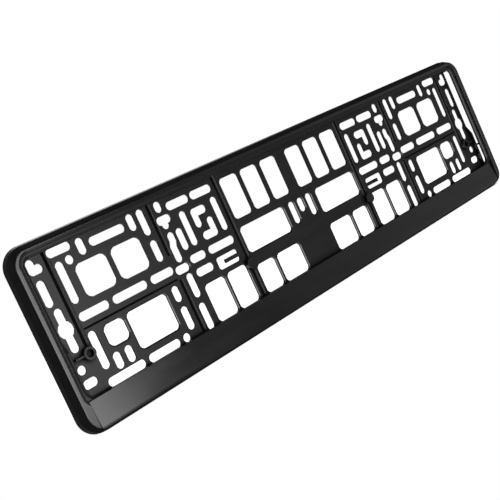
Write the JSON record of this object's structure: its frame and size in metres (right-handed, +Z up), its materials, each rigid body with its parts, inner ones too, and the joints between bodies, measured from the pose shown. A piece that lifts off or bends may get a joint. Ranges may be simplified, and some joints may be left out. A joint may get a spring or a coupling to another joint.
{
  "type": "number plate holder",
  "caption": "Moulded frame for a long car number plate: a shallow lipped rim round a pierced backing panel, and a lower strip that swings down on snap hinges to let the plate in.",
  "frame": {"origin": "middle of the back face, which lies against the car", "axes": "+X to the right seen from the front, +Y into the car, +Z up, so the front looks along -Y"},
  "size_m": [0.535, 0.0115, 0.1404],
  "materials": {
    "base_plastic": "moulded, fine texture",
    "strip_plastic": "moulded, satin"
  },
  "bodies": {
    "frame": {"base_frame": "base_plastic"},
    "strip": {"lower_strip": "strip_plastic"}
  },
  "joints": [
    {"name": "strip_hinge", "type": "hinge", "parent": "frame", "child": "strip", "pos_m": [0, -0.0027, -0.0672], "axis": [1, 0, 0], "range_deg": [0, 95]}
  ]
}
